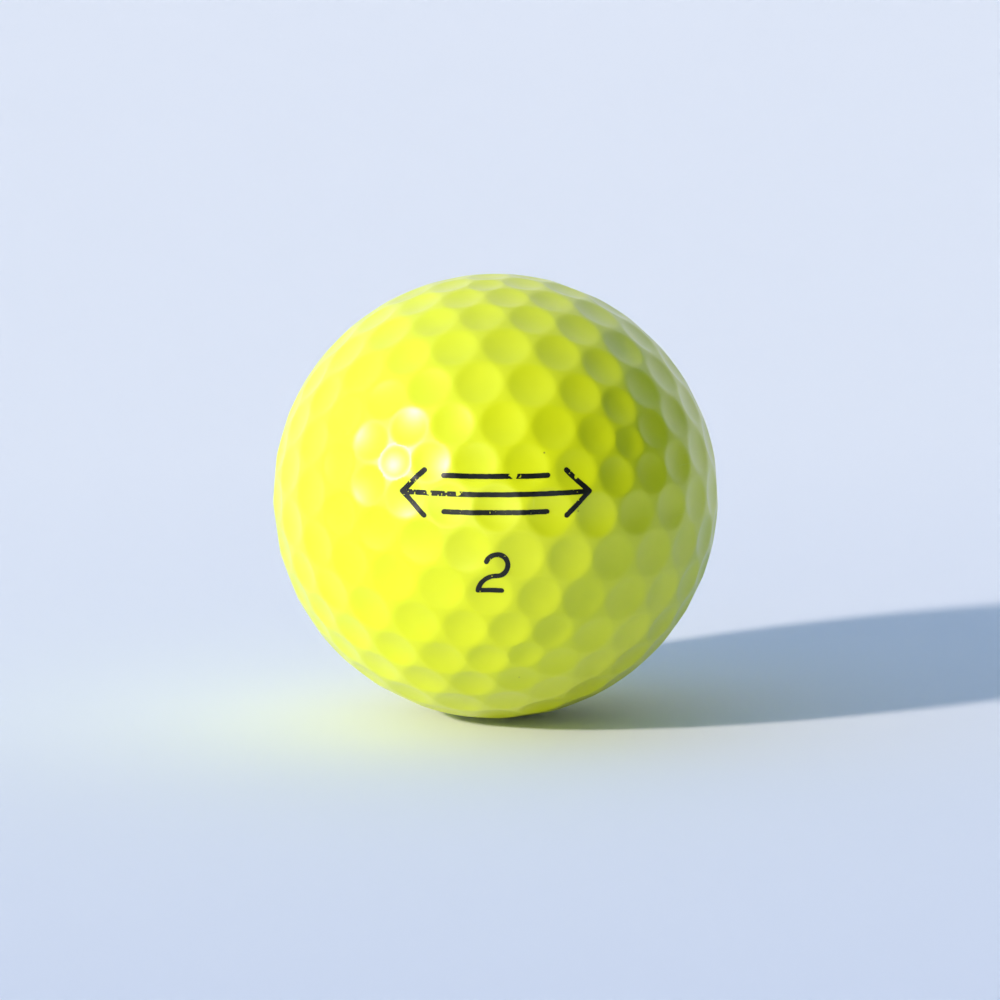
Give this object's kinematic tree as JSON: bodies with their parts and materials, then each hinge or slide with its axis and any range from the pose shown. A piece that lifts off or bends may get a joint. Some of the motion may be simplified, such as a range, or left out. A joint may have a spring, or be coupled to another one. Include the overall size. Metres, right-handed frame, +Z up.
{
  "type": "golf ball",
  "caption": "Round golf ball with a dimpled optic-yellow cover over a casing and rubber core, a black play number and a plain alignment mark.",
  "frame": {"origin": "the centre of the ball", "axes": "+Z up, the front print faces -Y, +X to the right of that print, the cover's parting plane is y = 0"},
  "size_m": [0.0426, 0.0426, 0.0426],
  "materials": {
    "cover_yellow": "glossy optic-yellow cover with a clear coat, slightly scuffed",
    "print_black": "thin worn black ink under the clear coat",
    "casing_ionomer": "satin pale ionomer",
    "outer_core_rubber": "matt rubber",
    "inner_core_rubber": "matt rubber"
  },
  "bodies": {
    "root": {"inner_core": "inner_core_rubber", "outer_core_front": "outer_core_rubber", "outer_core_rear": "outer_core_rubber", "casing_front": "casing_ionomer", "casing_rear": "casing_ionomer", "cover_front": "cover_yellow", "cover_rear": "cover_yellow", "play_number_front": "print_black", "play_number_rear": "print_black", "alignment_mark_front": "print_black", "alignment_mark_rear": "print_black"}
  },
  "joints": []
}
